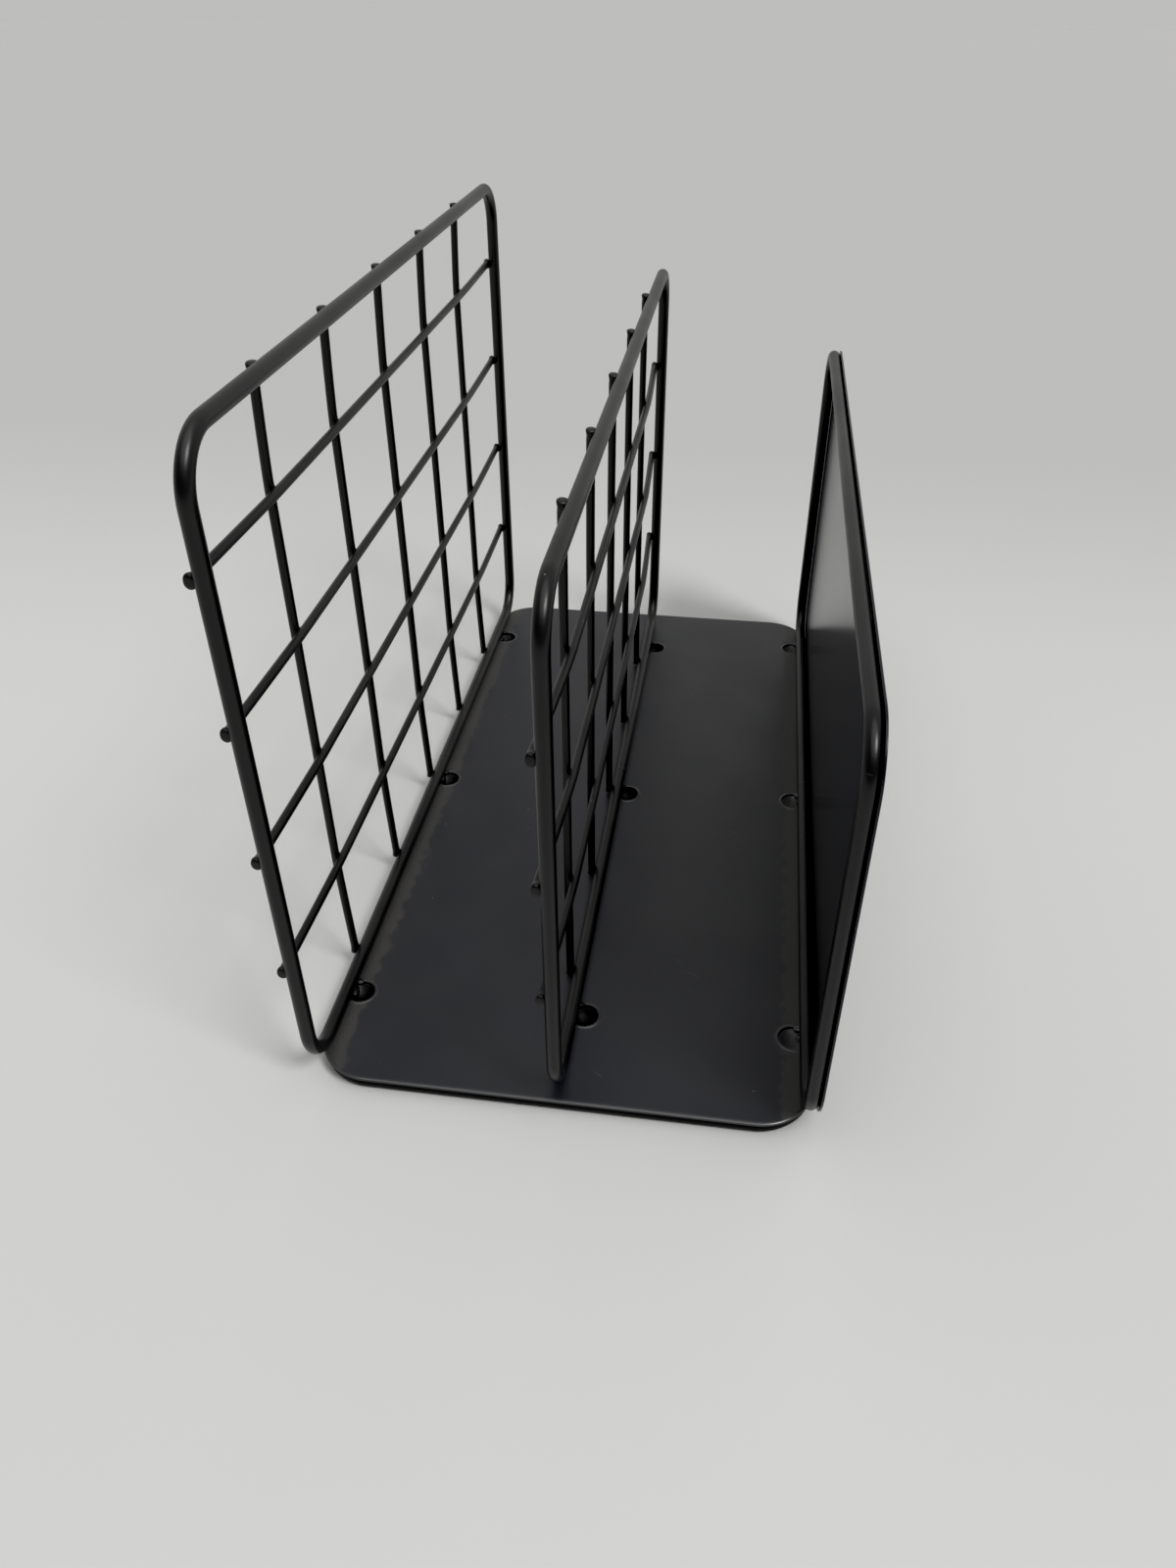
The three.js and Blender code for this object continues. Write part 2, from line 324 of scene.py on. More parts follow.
# %% All the grid wires
CROSS_SWELL = 0.40 * MM
LOOP_SWELL = 0.50 * MM
grid_wires = {}
for panel, row_count in ROWS.items():
    rows = numbered(panel, "row", row_count)
    columns = numbered(panel, "column", COLUMNS)
    loop_low, loop_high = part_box(f"{panel}_panel_loop")
    row_places = [middle(row).z for row in rows]
    column_places = [middle(column).y for column in columns]
    post = (loop_low.y + LOOP_RADIUS, loop_high.y - LOOP_RADIUS)
    rail = (loop_low.z + LOOP_RADIUS, loop_high.z - LOOP_RADIUS)
    row_welds = [(place, -1, CROSS_SWELL) for place in column_places]
    row_welds += [(place, 1, LOOP_SWELL) for place in post]
    column_welds = [(place, 1, CROSS_SWELL) for place in row_places]
    column_welds += [(place, 1, LOOP_SWELL) for place in rail]
    row_flex = (post[0], column_places[0], column_places[-1], post[1])
    column_flex = (rail[0], row_places[0], row_places[-1], rail[1])
    for number, row in enumerate(rows, 1):
        grid_wires[row] = add_grid_wire(f"{panel}_row_wire_{number}", row, Y, row_flex, row_welds)
    for number, column in enumerate(columns, 1):
        name = f"{panel}_column_wire_{number}"
        grid_wires[column] = add_grid_wire(name, column, Z, column_flex, column_welds)
    print(panel, "grid:", row_count, "rows and", COLUMNS, "columns")

# %% [markdown]
# ## The base sheet
# A laser cuts the sheet's outline and its nine holes, and the coat then rounds every edge. The rounding
# is what catches the light along the front, so it is real geometry. The section of the edge is drawn
# once, as a list of steps inwards and upwards, and run round the outline. A list of the same kind runs
# round each hole the other way. One more ring inside the rounding keeps the flat faces flat when they
# are shaded smooth.

# %% A plate with softened edges
FLAT_RING = 0.6 * MM
EDGE_STEPS = 6
LIP_SLOPE = 1.0 * MM


def edge_section(thickness, top_radius, bottom_radius, lip=0, roll=1):
    """(inset, height) from the flat of the underside round the edge to the flat of the top.
    With a lip, the edge stands up by that much and slopes down again to the flat. A roll above 1
    draws the top's rounding out over the sheet by that many times."""
    section = [(bottom_radius + FLAT_RING, 0)]
    for step in range(EDGE_STEPS + 1):
        turn = math.pi / 2 * step / EDGE_STEPS
        section.append((bottom_radius * (1 - math.sin(turn)), bottom_radius * (1 - math.cos(turn))))
    for step in range(EDGE_STEPS + 1):
        turn = math.pi / 2 * step / EDGE_STEPS
        inset = roll * top_radius * (1 - math.cos(turn))
        section.append((inset, thickness + lip - top_radius * (1 - math.sin(turn))))
    if lip:
        for step in range(1, EDGE_STEPS + 1):
            share = step / EDGE_STEPS
            rise = lip * (1 + math.cos(math.pi * share)) / 2
            section.append((top_radius + LIP_SLOPE * share, thickness + rise))
    section.append((section[-1][0] + FLAT_RING, thickness))
    return section


def add_band(builder, outline_at, section, place):
    """Runs an edge section round an outline. Returns the first and the last ring."""
    rings = []
    for inset, height in section:
        spots = [place(along, across, height) for along, across in outline_at(inset)]
        rings.append([builder.verts.new(spot) for spot in spots])
    for below, above in zip(rings, rings[1:]):
        for side in range(len(below)):
            after = (side + 1) % len(below)
            builder.faces.new((below[side], below[after], above[after], above[side]))
    return rings[0], rings[-1]


def ring_edges(builder, ring):
    pairs = zip(ring, ring[1:] + ring[:1])
    return [builder.edges.get(pair) for pair in pairs]


def add_plate(name, half, corner, section, hole_section, place, holes=(), hole_radius=0):
    builder = bmesh.new()

    def outline_at(inset):
        return rounded_rectangle(half[0] - inset, half[1] - inset, corner - inset, CORNER_STEPS)

    under, top = add_band(builder, outline_at, section, place)
    under_edges, top_edges = ring_edges(builder, under), ring_edges(builder, top)
    for hole in holes:
        def hole_at(inset, hole=hole):
            turns = [2 * math.pi * step / HOLE_STEPS for step in range(HOLE_STEPS)]
            reach = hole_radius + inset
            return [(hole[0] + reach * math.cos(turn), hole[1] + reach * math.sin(turn)) for turn in turns]

        under, top = add_band(builder, hole_at, hole_section, place)
        under_edges += ring_edges(builder, under)
        top_edges += ring_edges(builder, top)
    for edges in (under_edges, top_edges):
        bmesh.ops.triangle_fill(builder, edges=edges, use_beauty=True)
    return new_piece(name, builder)


# %% [markdown]
# ## The base and its holes
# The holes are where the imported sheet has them, so their places and size come from its own corners. On
# the outline the rounding is drawn out over the top, which makes the bright line along it wider. Each
# hole gets a small raised lip, which catches the light as a thin arc.

# %% The base sheet and its weld holes
CORNER_STEPS = 24
HOLE_STEPS = 40
HOLE_SEARCH = 9 * MM
TACKS = [tack for panel in PANELS for tack in numbered(panel, "tack", 3)]


def hole_of(tack):
    """The centre and radius of the hole that a tack sits in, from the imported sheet's own corners."""
    near = middle(tack).to_2d()
    corners = [corner.co.to_2d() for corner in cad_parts["base_sheet"].data.vertices]
    rim = [corner for corner in corners
           if (corner - near).length < HOLE_SEARCH and abs(corner.y) < base_high.y - BASE_CORNER]
    centre = sum(rim, Vector((0, 0))) / len(rim)
    return centre, max((corner - centre).length for corner in rim)


holes = {tack: hole_of(tack) for tack in TACKS}
hole_radius = holes[TACKS[0]][1]
base_middle = middle("base_sheet")
base_thickness = size("base_sheet").z
base_half = ((base_high.x - base_low.x) / 2, (base_high.y - base_low.y) / 2)


def on_base(along, across, height):
    return Vector((base_middle.x + along, base_middle.y + across, base_low.z + height))


base_sheet = add_plate(
    "base_plate",
    base_half,
    BASE_CORNER,
    edge_section(base_thickness, top_radius=0.8 * MM, bottom_radius=0.18 * MM, roll=2.0),
    edge_section(base_thickness, top_radius=0.45 * MM, bottom_radius=0.2 * MM, lip=0.3 * MM),
    on_base,
    [(centre.x - base_middle.x, centre.y - base_middle.y) for centre, _radius in holes.values()],
    hole_radius,
)
print("base sheet, mm:", [round(side / MM, 1) for side in size("base_sheet")])
print("holes, mm:", round(2 * hole_radius / MM, 2), "across, at", [
    tuple(round(part / MM, 1) for part in centre) for centre, _radius in holes.values()])

# %% [markdown]
# ## The low panel's sheet
# This sheet is fixed to the outside of the low loop and has the same outline. From the front its inner
# face fills the loop, and its edge shows as a thin line beside the wire. It is a plain plate on edge
# with small softened edges.

# %% The low panel's sheet
panel_middle = middle("low_panel_sheet")
panel_half = (size("low_panel_sheet").y / 2, size("low_panel_sheet").z / 2)
panel_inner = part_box("low_panel_sheet")[0].x


def on_panel(along, across, height):
    return Vector((panel_inner + height, panel_middle.y + along, panel_middle.z + across))


panel_edge = edge_section(size("low_panel_sheet").x, top_radius=0.3 * MM, bottom_radius=0.25 * MM)
panel_sheet = add_plate(
    "panel_plate", panel_half, PANEL_BEND + LOOP_RADIUS, panel_edge, panel_edge, on_panel)
print("panel sheet, mm:", [round(side / MM, 1) for side in size("low_panel_sheet")])

# %% [markdown]
# ## The tack welds
# Each panel is held by three plug welds. The hole is cut half under the bottom wire, and weld metal is
# laid in it until it joins the wire. It sets as a dish with a lump against the wire and a small nub on
# the sheet behind the hole, where the torch was drawn away. The low panel's holes are filled the most
# and the middle panel's the least. The dish is a round plate with its rings pushed down. The lumps are
# balls pulled out of shape by noise, because real ones are round, smooth and never quite alike.

# %% The tack beads
BEAD_STEPS = 3
DISH_RINGS = 10
DISH_SIDES = 40
DISH_RIM = {"tall": 0.85 * MM, "middle": 0.85 * MM, "low": 0.45 * MM}
DISH_FLOOR = {"tall": 3.4 * MM, "middle": 4.4 * MM, "low": 1.7 * MM}
DISH_WAVE = 0.12 * MM
PLUG_EDGE = 0.5 * MM
PLUG_MIDDLE = 0.8 * MM
BEAD_DROP = {"tall": 1.3 * MM, "middle": 4.6 * MM, "low": 1.2 * MM}
BEAD_ACROSS = 2.9 * MM
BEAD_ALONG = 1.4 * MM
BEAD_REACH = (1.7 * MM, 2.4 * MM, 1.1 * MM)
BEAD_UNEVENNESS = 0.45
NUB_ACROSS = 2.2 * MM
NUB_SHARE = 0.92
NUB_RISE = 0.1 * MM
NUB_REACH = (1.9 * MM, 1.4 * MM, 0.9 * MM)
NUB_UNEVENNESS = 0.35
random.seed(7)


def add_lump(builder, centre, reach, unevenness, seed):
    """A soft round lump: a fine ball, stretched to `reach` and pushed in and out by noise."""
    ball = bmesh.ops.create_icosphere(builder, subdivisions=BEAD_STEPS, radius=1)
    for point in ball["verts"]:
        out = point.co.normalized()
        push = 1 + unevenness * noise.noise(out * 1.6 + seed)
        point.co = centre + Vector([part * span * push for part, span in zip(out, reach)])


def add_dish(builder, centre, radius, rim, floor, seed):
    """A closed plug under the sheet's top: a dished upper skin and a flat lower one."""
    rings = []
    for ring in range(1, DISH_RINGS + 1):
        share = ring / DISH_RINGS
        depth = rim + (floor - rim) * (1 - share ** 2)
        spots = []
        for side in range(DISH_SIDES):
            turn = 2 * math.pi * side / DISH_SIDES
            spot = Vector((math.cos(turn), math.sin(turn), 0)) * radius * share
            wave = DISH_WAVE * noise.noise(spot / (2 * MM) + seed)
            spots.append(builder.verts.new(centre + spot - Z * (depth + wave)))
        rings.append(spots)
    below = [builder.verts.new(spot.co - Z * PLUG_EDGE) for spot in rings[-1]]
    rings.append(below)
    for inner, outer in zip(rings, rings[1:]):
        for side in range(DISH_SIDES):
            after = (side + 1) % DISH_SIDES
            builder.faces.new((inner[side], inner[after], outer[after], outer[side]))
    heart = builder.verts.new(centre - Z * floor)
    foot = builder.verts.new(centre - Z * (floor + PLUG_MIDDLE))
    for ring, tip in ((rings[0], heart), (below, foot)):
        for side in range(DISH_SIDES):
            builder.faces.new((ring[side], ring[(side + 1) % DISH_SIDES], tip))


def add_tack(tack, panel):
    centre, radius = holes[tack]
    toward = math.copysign(1, plane_of(panel) - centre.x)
    seed = Vector((random.uniform(0, 50), random.uniform(0, 50), random.uniform(0, 50)))
    top = base_high.z
    builder = bmesh.new()
    middle_of_hole = Vector((centre.x, centre.y, top))
    add_dish(builder, middle_of_hole, radius, DISH_RIM[panel], DISH_FLOOR[panel], seed)
    bead = Vector((centre.x + toward * BEAD_ACROSS, centre.y + BEAD_ALONG, top - BEAD_DROP[panel]))
    add_lump(builder, bead, BEAD_REACH, BEAD_UNEVENNESS, seed)
    nub = Vector((centre.x + toward * NUB_ACROSS, centre.y + radius * NUB_SHARE, top + NUB_RISE))
    add_lump(builder, nub, NUB_REACH, NUB_UNEVENNESS, seed + X)
    return new_piece(f"{tack}_bead", builder)


tack_beads = {}
for panel in PANELS:
    for tack in numbered(panel, "tack", 3):
        tack_beads[tack] = add_tack(tack, panel)
print("tack beads:", len(tack_beads))

# %% [markdown]
# ## Every piece takes its node's place
# Each new piece rides on the rack's one body, hides the plain solid that it stands for, and names the
# finish that it takes.

# %% Hand the pieces over
finishes = {}


def hand_over(piece, node, finish):
    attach(piece, "root")
    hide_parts(node)
    finishes.setdefault(finish, []).append(piece)


for node, piece in loops.items():
    hand_over(piece, node, "loop_coat")
for node, piece in grid_wires.items():
    hand_over(piece, node, "grid_coat")
for node, piece in tack_beads.items():
    hand_over(piece, node, "tack_coat")
hand_over(base_sheet, "base_sheet", "base_coat")
hand_over(panel_sheet, "low_panel_sheet", "panel_coat")
for finish, pieces in finishes.items():
    print(finish, "is on", len(pieces), "pieces")

# %% [markdown]
# ## Powder grain
# Powder coat is sprayed on dry and melted in an oven. It never flows quite flat: it keeps a soft
# orange-peel ripple about a millimetre across, with a finer grain on top. Both are noise, at their
# real size, in one shared group that gives a height for the bump and a shade for the colour.

# %% The powder grain group


def new_group(name, inputs, outputs):
    group = bpy.data.node_groups.new(name, "ShaderNodeTree")
    for label, value in inputs.items():
        socket = group.interface.new_socket(label, in_out="INPUT", socket_type="NodeSocketFloat")
        socket.default_value = value
    for label in outputs:
        group.interface.new_socket(label, in_out="OUTPUT", socket_type="NodeSocketFloat")
    start = group.nodes.new("NodeGroupInput")
    end = group.nodes.new("NodeGroupOutput")
    return group, start.outputs, end.inputs


def add_node(tree, kind, settings=None, **inputs):
    """Adds a node. Settings are its own properties, and inputs are values or sockets by name or number."""
    node = tree.nodes.new(kind)
    for label, value in (settings or {}).items():
        setattr(node, label, value)
    for label, value in inputs.items():
        key = int(label[1:]) if label[0] == "i" and label[1:].isdigit() else label.replace("_", " ")
        socket = node.inputs[key]
        if isinstance(value, bpy.types.NodeSocket):
            tree.links.new(value, socket)
        else:
            socket.default_value = value
    return node


def math_node(tree, operation, first, second=0.0, clamp=False):
    settings = {"operation": operation, "use_clamp": clamp}
    return add_node(tree, "ShaderNodeMath", settings, i0=first, i1=second).outputs[0]


def map_range(tree, value, low, high, to_low=0.0, to_high=1.0):
    node = add_node(tree, "ShaderNodeMapRange", {"interpolation_type": "SMOOTHSTEP"},
                    Value=value, From_Min=low, From_Max=high, To_Min=to_low, To_Max=to_high)
    return node.outputs["Result"]


def place_on_object(tree):
    return add_node(tree, "ShaderNodeTexCoord").outputs["Object"]


def noise_at(tree, cell, detail=2.0, where=None):
    """Noise with lumps about `cell` metres across, which may be a socket."""
    if isinstance(cell, bpy.types.NodeSocket):
        scale = math_node(tree, "DIVIDE", 1.0, cell)
    else:
        scale = 1 / cell
    where = where or place_on_object(tree)
    node = add_node(tree, "ShaderNodeTexNoise", Vector=where, Scale=scale, Detail=detail)
    return node.outputs["Fac"]


grain, grain_in, grain_out = new_group(
    "powder_grain", {"Ripple": 1.1 * MM, "Grain": 0.28 * MM, "Grain share": 0.35}, ("Height", "Shade"))
ripple = noise_at(grain, grain_in["Ripple"], 1.0)
fine = noise_at(grain, grain_in["Grain"], 2.0)
fine_part = math_node(grain, "MULTIPLY", fine, grain_in["Grain share"])
grain.links.new(math_node(grain, "ADD", ripple, fine_part), grain_out["Height"])
grain.links.new(map_range(grain, fine, 0.3, 0.7), grain_out["Shade"])
print("group", grain.name, "has", len(grain.nodes), "nodes")

# %% [markdown]
# ## Dust
# Dust settles on what faces up. There are two kinds: a thin even film, and single pale specks that a
# satin black surface shows at once. The film follows the surface's normal. The specks are the middles
# of random cells, kept in less than half of the cells so that they lie apart.

# %% The dust group
dust, dust_in, dust_out = new_group(
    "settled_dust", {"Spacing": 9 * MM, "Speck": 0.03, "Share": 0.45}, ("Film", "Specks"))
facing = add_node(dust, "ShaderNodeNewGeometry").outputs["Normal"]
facing_up = add_node(dust, "ShaderNodeSeparateXYZ", Vector=facing).outputs["Z"]
upward = map_range(dust, facing_up, 0.2, 0.95)
patchy = map_range(dust, noise_at(dust, 30 * MM, 3.0), 0.35, 0.7)
dust.links.new(math_node(dust, "MULTIPLY", upward, patchy), dust_out["Film"])
cells = add_node(dust, "ShaderNodeTexVoronoi", Vector=place_on_object(dust),
                 Scale=math_node(dust, "DIVIDE", 1.0, dust_in["Spacing"]))
near_middle = math_node(dust, "LESS_THAN", cells.outputs["Distance"], dust_in["Speck"])
draw = add_node(dust, "ShaderNodeSeparateColor", Color=cells.outputs["Color"]).outputs[0]
chosen = math_node(dust, "LESS_THAN", draw, dust_in["Share"])
speck = math_node(dust, "MULTIPLY", near_middle, chosen)
dust.links.new(math_node(dust, "MULTIPLY", speck, upward), dust_out["Specks"])
print("group", dust.name, "has", len(dust.nodes), "nodes")

# %% [markdown]
# ## Handling marks
# Paper slides over the coat and fingers press on it, and both polish it unevenly. Soft patches a few
# centimetres across change how rough it is, and short thin scuffs lie on top. A scuff is noise that is
# stretched ten times along one direction and cut off high, so that only its peaks are left.

# %% The handling marks group
marks, marks_in, marks_out = new_group(
    "handling_marks", {"Patch": 35 * MM, "Scuff": 1.2 * MM, "Turn": 0.5}, ("Patches", "Scuffs"))
marks.links.new(map_range(marks, noise_at(marks, marks_in["Patch"], 2.0), 0.3, 0.7), marks_out["Patches"])
turned = add_node(marks, "ShaderNodeVectorRotate", {"rotation_type": "Z_AXIS"},
                  Vector=place_on_object(marks), Angle=marks_in["Turn"]).outputs[0]
stretched = add_node(
    marks, "ShaderNodeVectorMath", {"operation": "MULTIPLY"}, i0=turned, i1=(0.1, 1.0, 1.0))
streaks = noise_at(marks, marks_in["Scuff"], 1.0, stretched.outputs[0])
rare = map_range(marks, noise_at(marks, 40 * MM, 1.0), 0.55, 0.75)
peaks = map_range(marks, streaks, 0.68, 0.74)
marks.links.new(math_node(marks, "MULTIPLY", peaks, rare), marks_out["Scuffs"])
print("group", marks.name, "has", len(marks.nodes), "nodes")

# %% [markdown]
# ## The black coats
# All the pieces are sprayed together, so they share one kind of coat: nearly black, with a satin
# gloss. What differs is how it looks in place. The base mirrors more than the wires do, the low
# panel's sheet is the smoothest, and both have a faint blue cast. The small weld beads are rougher.
# The rim wire and the middle panel's deep welds sit in shade, so they get a duller copy of the coat, with
# less shine, as painted shade. The low panel's shallow welds get the base's. So one function builds the
# coat, and each finish gives it its own values.

# %% One coat with its own values


def use_group(tree, group, **values):
    node = tree.nodes.new("ShaderNodeGroup")
    node.node_tree = group
    for label, value in values.items():
        node.inputs[label.replace("_", " ")].default_value = value
    return node.outputs


def blend_colour(tree, share, first, second):
    node = add_node(tree, "ShaderNodeMix", {"data_type": "RGBA"}, Factor=share)
    for socket, colour in ((node.inputs[6], first), (node.inputs[7], second)):
        if isinstance(colour, bpy.types.NodeSocket):
            tree.links.new(colour, socket)
        else:
            socket.default_value = (*colour, 1)
    return node.outputs[2]


def blend_value(tree, share, first, second):
    node = add_node(tree, "ShaderNodeMix", {"data_type": "FLOAT"}, Factor=share)
    for socket, value in ((node.inputs[2], first), (node.inputs[3], second)):
        if isinstance(value, bpy.types.NodeSocket):
            tree.links.new(value, socket)
        else:
            socket.default_value = value
    return node.outputs[0]


DUST_COLOUR = (0.35, 0.34, 0.32)
DUSTY_ROUGHNESS = 0.9
SCUFF_SHARE = 0.05
SPECK_SHARE = 0.35
GRAIN_LIGHTER = 1.5


def black_coat(name, colour, roughness, specular, ripple=1.1 * MM, depth=0.012 * MM, film=0.02,
               wear=0.04, extra=None):
    """`film` is how much dust shows, `wear` how far handling changes the roughness."""
    material = bpy.data.materials.new(name)
    material.use_nodes = True
    tree = material.node_tree
    shader = tree.nodes["Principled BSDF"]
    grain_values = use_group(tree, grain, Ripple=ripple)
    dust_values = use_group(tree, dust)
    mark_values = use_group(tree, marks)

    lighter = tuple(part * GRAIN_LIGHTER for part in colour)
    base = blend_colour(tree, grain_values["Shade"], colour, lighter)
    rough = blend_value(tree, mark_values["Patches"], roughness - wear, roughness + wear)
    if extra:
        base, rough = extra(tree, base, rough)
    scuffed = math_node(tree, "MULTIPLY", mark_values["Scuffs"], SCUFF_SHARE)
    base = blend_colour(tree, scuffed, base, DUST_COLOUR)
    dusty = math_node(tree, "MULTIPLY", dust_values["Film"], film)
    specked = math_node(tree, "MULTIPLY", dust_values["Specks"], SPECK_SHARE)
    dusty = math_node(tree, "MAXIMUM", dusty, specked)
    base = blend_colour(tree, dusty, base, DUST_COLOUR)
    rough = blend_value(tree, dusty, rough, DUSTY_ROUGHNESS)
    tree.links.new(base, shader.inputs["Base Color"])
    tree.links.new(rough, shader.inputs["Roughness"])
    shader.inputs["IOR"].default_value = 1.5
    shader.inputs["Specular IOR Level"].default_value = specular
    bump = add_node(tree, "ShaderNodeBump", Height=grain_values["Height"], Distance=depth, Strength=1.0)
    tree.links.new(bump.outputs["Normal"], shader.inputs["Normal"])
    return material


# %% [markdown]
# ## Painted light on the base
# The base shows two things that the wires don't. Powder reaches badly into the corner beside the outer
# rails, so the coat is rougher and speckled in a strip along each, and the strip is painted lighter as a
# painted reflection of the surroundings. Where the sheet turns down at its edges, the coat is smoother and
# painted lighter as a painted highlight. Both are functions that change the colour and the roughness on
# their way to the shader, so no other coat has to know about them.

# %% Painted reflection strips and painted edge highlight
STRIP_WIDTH = 6.5 * MM
# Painted reflection: the lighter colour of the strips beside the outer rails.
REFLECTION_STRIP_COLOUR = (0.034, 0.032, 0.029)
STRIP_ROUGHNESS = 0.6
# Painted highlight: the lighter colour where the base sheet's top turns down into its edge.
EDGE_HIGHLIGHT_COLOUR = (0.045, 0.045, 0.046)
EDGE_ROUGHNESS = 0.26
NEARLY_LEVEL = 0.97
CLEARLY_TURNED = 0.86
HALF_TURNED = 0.55
NEARLY_UPRIGHT = 0.25
tall_edge = plane_of("tall") + LOOP_RADIUS
low_edge = plane_of("low") - LOOP_RADIUS


def painted_reflection_strips(tree, base, rough):
    """Beside the outer rails the coat is rougher and speckled, and painted lighter as a painted reflection.
    """
    where = add_node(tree, "ShaderNodeSeparateXYZ", Vector=place_on_object(tree)).outputs["X"]
    wander = map_range(tree, noise_at(tree, 5 * MM, 3.0), 0.2, 0.8, -1.8 * MM, 1.8 * MM)
    where = math_node(tree, "ADD", where, wander)
    left = map_range(tree, where, tall_edge + STRIP_WIDTH * 0.6, tall_edge + STRIP_WIDTH, 1.0, 0.0)
    right = map_range(tree, where, low_edge - STRIP_WIDTH, low_edge - STRIP_WIDTH * 0.6)
    strip = math_node(tree, "MAXIMUM", left, right)
    speckle = map_range(tree, noise_at(tree, 0.6 * MM, 2.0), 0.35, 0.65, 0.4, 1.0)
    strip = math_node(tree, "MULTIPLY", strip, speckle)
    # The strip is painted lighter here: a painted reflection beside each outer rail.
    base = blend_colour(tree, strip, base, REFLECTION_STRIP_COLOUR)
    return base, blend_value(tree, strip, rough, STRIP_ROUGHNESS)


def painted_edge_highlight(tree, base, rough):
    """A painted highlight: the coat is painted lighter and made smoother where the sheet's top turns down
    into its edge.
    """
    facing = add_node(tree, "ShaderNodeNewGeometry").outputs["Normal"]
    facing_up = add_node(tree, "ShaderNodeSeparateXYZ", Vector=facing).outputs["Z"]
    turned = map_range(tree, facing_up, NEARLY_LEVEL, CLEARLY_TURNED)
    edge_highlight = math_node(tree, "MULTIPLY", turned, map_range(tree, facing_up, NEARLY_UPRIGHT, HALF_TURNED))
    # The turned-down edge is painted lighter here: a painted highlight.
    base = blend_colour(tree, edge_highlight, base, EDGE_HIGHLIGHT_COLOUR)
    return base, blend_value(tree, edge_highlight, rough, EDGE_ROUGHNESS)


def painted_light_on_base(tree, base, rough):
    base, rough = painted_reflection_strips(tree, base, rough)
    return painted_edge_highlight(tree, base, rough)


WIRE_BLACK = (0.0022, 0.0022, 0.0023)
SHEET_BLACK = (0.0030, 0.0036, 0.0068)
coats = {
    "loop_coat": black_coat("satin_black_on_wire", WIRE_BLACK, 0.33, specular=0.34),
    "grid_coat": black_coat("satin_black_on_thin_wire", WIRE_BLACK, 0.38, ripple=0.9 * MM, specular=0.30),
    "base_coat": black_coat(
        "satin_black_on_base", SHEET_BLACK, 0.40, film=0.010, specular=0.62, extra=painted_light_on_base),
    "panel_coat": black_coat(
        "smooth_black_on_panel", SHEET_BLACK, 0.20, depth=0.0001 * MM, film=0, wear=0.006, specular=0.28),
    "tack_coat": black_coat(
        "rough_black_on_weld", WIRE_BLACK, 0.42, ripple=0.6 * MM, film=0, specular=0.24),
}
# Painted shade: a copy of the coat with less shine, for the rim wire and the middle panel's deep welds.
shaded_coat = black_coat("dull_black_in_the_shade", WIRE_BLACK, 0.50, film=0, specular=0.10)
own_coats = {"rim_wire": shaded_coat}
own_coats |= {f"{tack}_bead": shaded_coat for tack in numbered("middle", "tack", 3)}
own_coats |= {f"{tack}_bead": coats["base_coat"] for tack in numbered("low", "tack", 3)}
for finish, pieces in finishes.items():
    for piece in pieces:
        piece.data.materials.append(own_coats.get(piece.name, coats[finish]))
    print(finish, "->", coats[finish].name)

# %% [markdown]
# ## The floor
# A plain pale sheet, large enough to fill the view. The far lamps light it evenly. Its paint gets a
# little darker from the middle of the rack to half a metre behind, and the background has that tone,
# so from the front hardly any horizon shows.

# %% The floor
FLOOR_HALF = 6.0
NEAR_FLOOR = (0.56, 0.56, 0.55)
FAR_FLOOR = (0.44, 0.44, 0.435)
builder = bmesh.new()
for spot in ((-1, -1), (1, -1), (1, 1), (-1, 1)):
    builder.verts.new(Vector((*spot, 0)) * FLOOR_HALF)
builder.faces.new(builder.verts)
floor = new_piece("studio_floor", builder)
floor_paint = bpy.data.materials.new("pale_floor")
floor_paint.use_nodes = True
floor_shader = floor_paint.node_tree.nodes["Principled BSDF"]
paint = floor_paint.node_tree
behind = add_node(paint, "ShaderNodeSeparateXYZ", Vector=place_on_object(paint)).outputs["Y"]
tone = blend_colour(paint, map_range(paint, behind, 0.0, 0.5), NEAR_FLOOR, FAR_FLOOR)
paint.links.new(tone, floor_shader.inputs["Base Color"])
floor_shader.inputs["Roughness"].default_value = 0.6
floor.data.materials.append(floor_paint)
print("floor, m:", 2 * FLOOR_HALF, "square")

# %% [markdown]
# ## The light
# The rack is black and satin, so it shows mostly what it mirrors. A pale wall behind it gives the
# base and the top rails their grey. A darker room on the viewer's side keeps the posts black. One soft
# lamp, high on the front right, draws the bright streaks in the near bends. A wider one overhead helps
# it to light the floor. The background that the camera sees has a strength of its own.

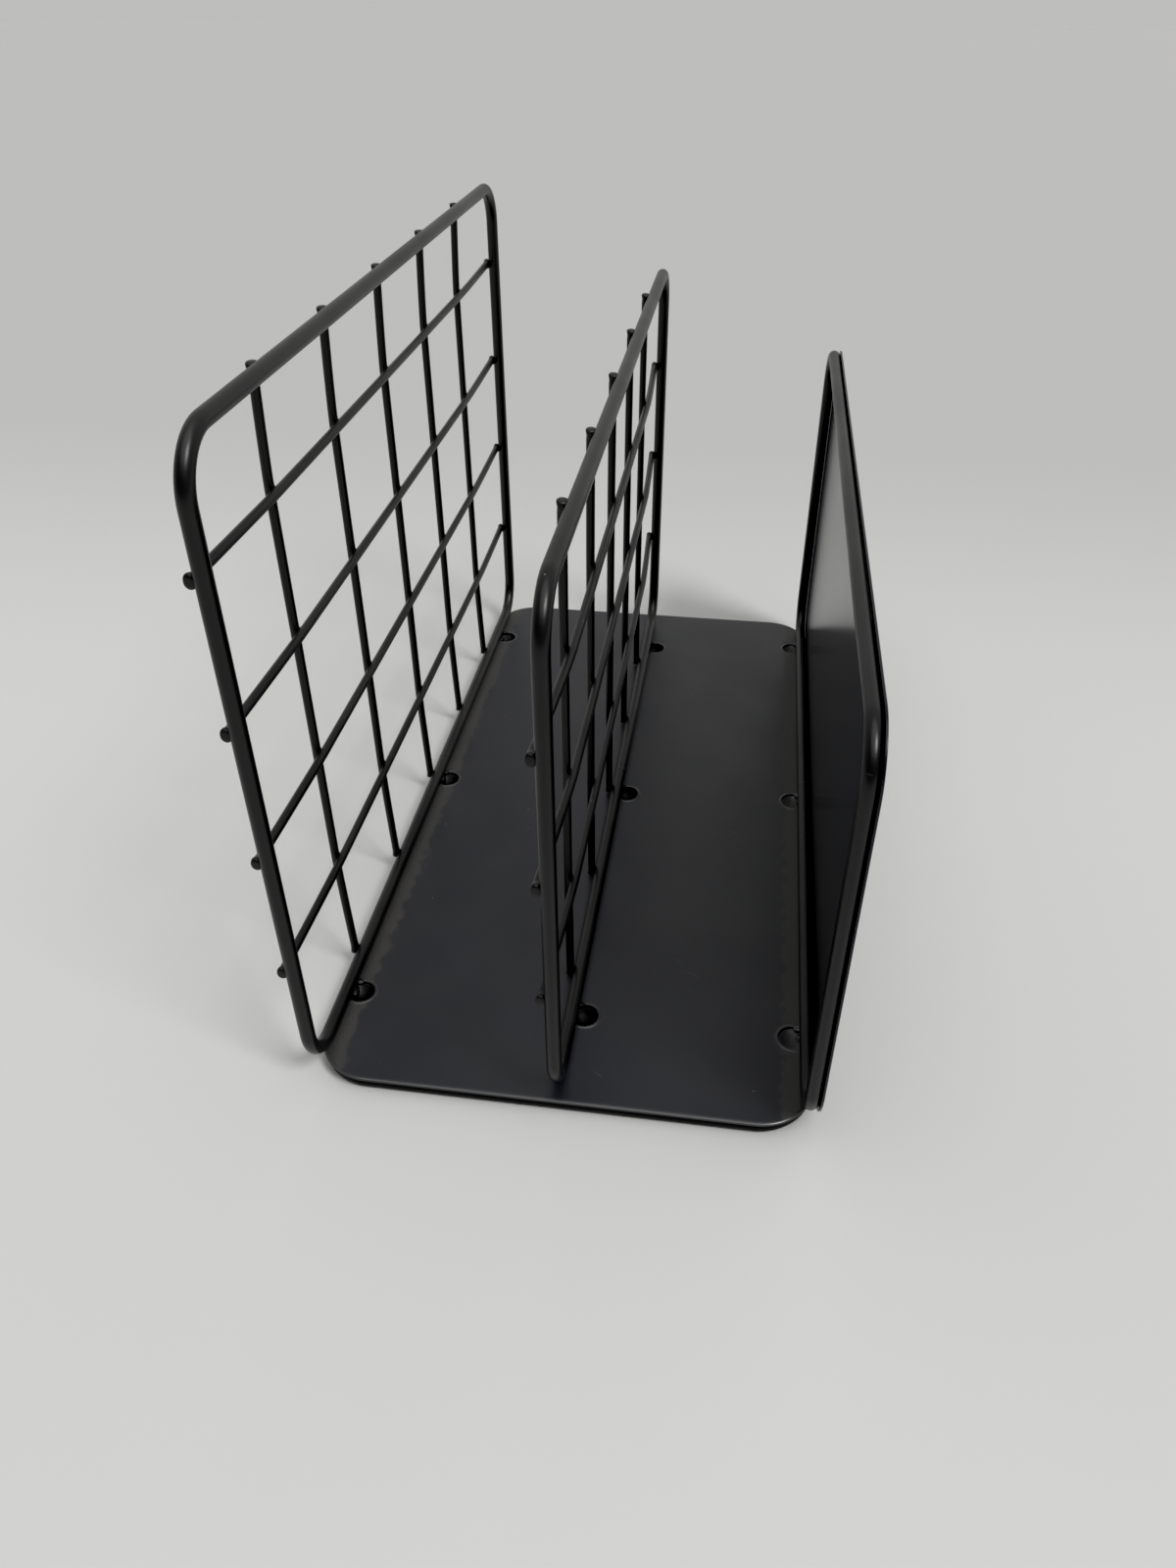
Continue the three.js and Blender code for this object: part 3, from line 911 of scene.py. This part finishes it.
# %% World and lamps
FRONT_STRENGTH = 0.05
BACK_STRENGTH = 0.54
BACKGROUND_STRENGTH = 0.515
world = bpy.data.worlds.new("studio")
bpy.context.scene.world = world
world.use_nodes = True
sky = world.node_tree
background = sky.nodes["Background"]
direction = add_node(sky, "ShaderNodeTexCoord").outputs["Generated"]
depth_axis = add_node(sky, "ShaderNodeSeparateXYZ", Vector=direction).outputs["Y"]
around = map_range(sky, depth_axis, -0.6, 0.5, FRONT_STRENGTH, BACK_STRENGTH)
seen = add_node(sky, "ShaderNodeLightPath").outputs["Is Camera Ray"]
strength = blend_value(sky, seen, around, BACKGROUND_STRENGTH)
sky.links.new(strength, background.inputs["Strength"])
background.inputs["Color"].default_value = (1.0, 1.0, 0.98, 1)


def add_lamp(name, toward, spread, strength, colour=(1, 1, 1)):
    """A soft far lamp. `toward` is where it stands, and `spread` is how wide it looks, in degrees."""
    lamp = bpy.data.lights.new(name, "SUN")
    lamp.angle = math.radians(spread)
    lamp.energy = strength
    lamp.color = colour
    holder = bpy.data.objects.new(name, lamp)
    holder.rotation_mode = "QUATERNION"
    holder.rotation_quaternion = Vector(toward).normalized().to_track_quat("Z", "Y")
    bpy.context.scene.collection.objects.link(holder)
    return holder


add_lamp("key_lamp", (0.50, -0.33, 0.80), spread=19, strength=1.8)
add_lamp("overhead_lamp", (0.05, -0.25, 1.0), spread=60, strength=1.25)

# %% [markdown]
# ## The camera
# The rack is seen from close by, from the front and well above, a little to the right of its middle,
# with a wide lens. That is why the near corners look so much larger than the far ones. The plain
# "Standard" view keeps the tones as they are lit, and a small black level deepens the blacks.

# %% The camera
CAMERA_PLACE = Vector((0.0468, -0.4003, 0.3118))
CAMERA_AIM = Vector((-0.1154, 0.7929, -0.5984))
CAMERA_ROLL = math.radians(-0.26)
LENS_MM = 25.9
SENSOR_MM = 36.0
BLACK_LEVEL = 0.004

lens = bpy.data.cameras.new("view_from_the_front")
lens.lens = LENS_MM
lens.sensor_width = SENSOR_MM
lens.clip_start = 0.01
lens.clip_end = 50
camera = bpy.data.objects.new("view_from_the_front", lens)
camera.rotation_mode = "QUATERNION"
camera.location = CAMERA_PLACE
level = CAMERA_AIM.to_track_quat("-Z", "Y")
camera.rotation_quaternion = level @ Matrix.Rotation(CAMERA_ROLL, 3, "Z").to_quaternion()
bpy.context.scene.collection.objects.link(camera)
bpy.context.scene.camera = camera

picture = bpy.context.scene.view_settings
picture.view_transform = "Standard"
picture.use_curve_mapping = True
picture.curve_mapping.black_level = (BLACK_LEVEL, BLACK_LEVEL, BLACK_LEVEL)
picture.curve_mapping.update()
print("camera looks down", round(math.degrees(math.asin(-CAMERA_AIM.normalized().z)), 1), "degrees")
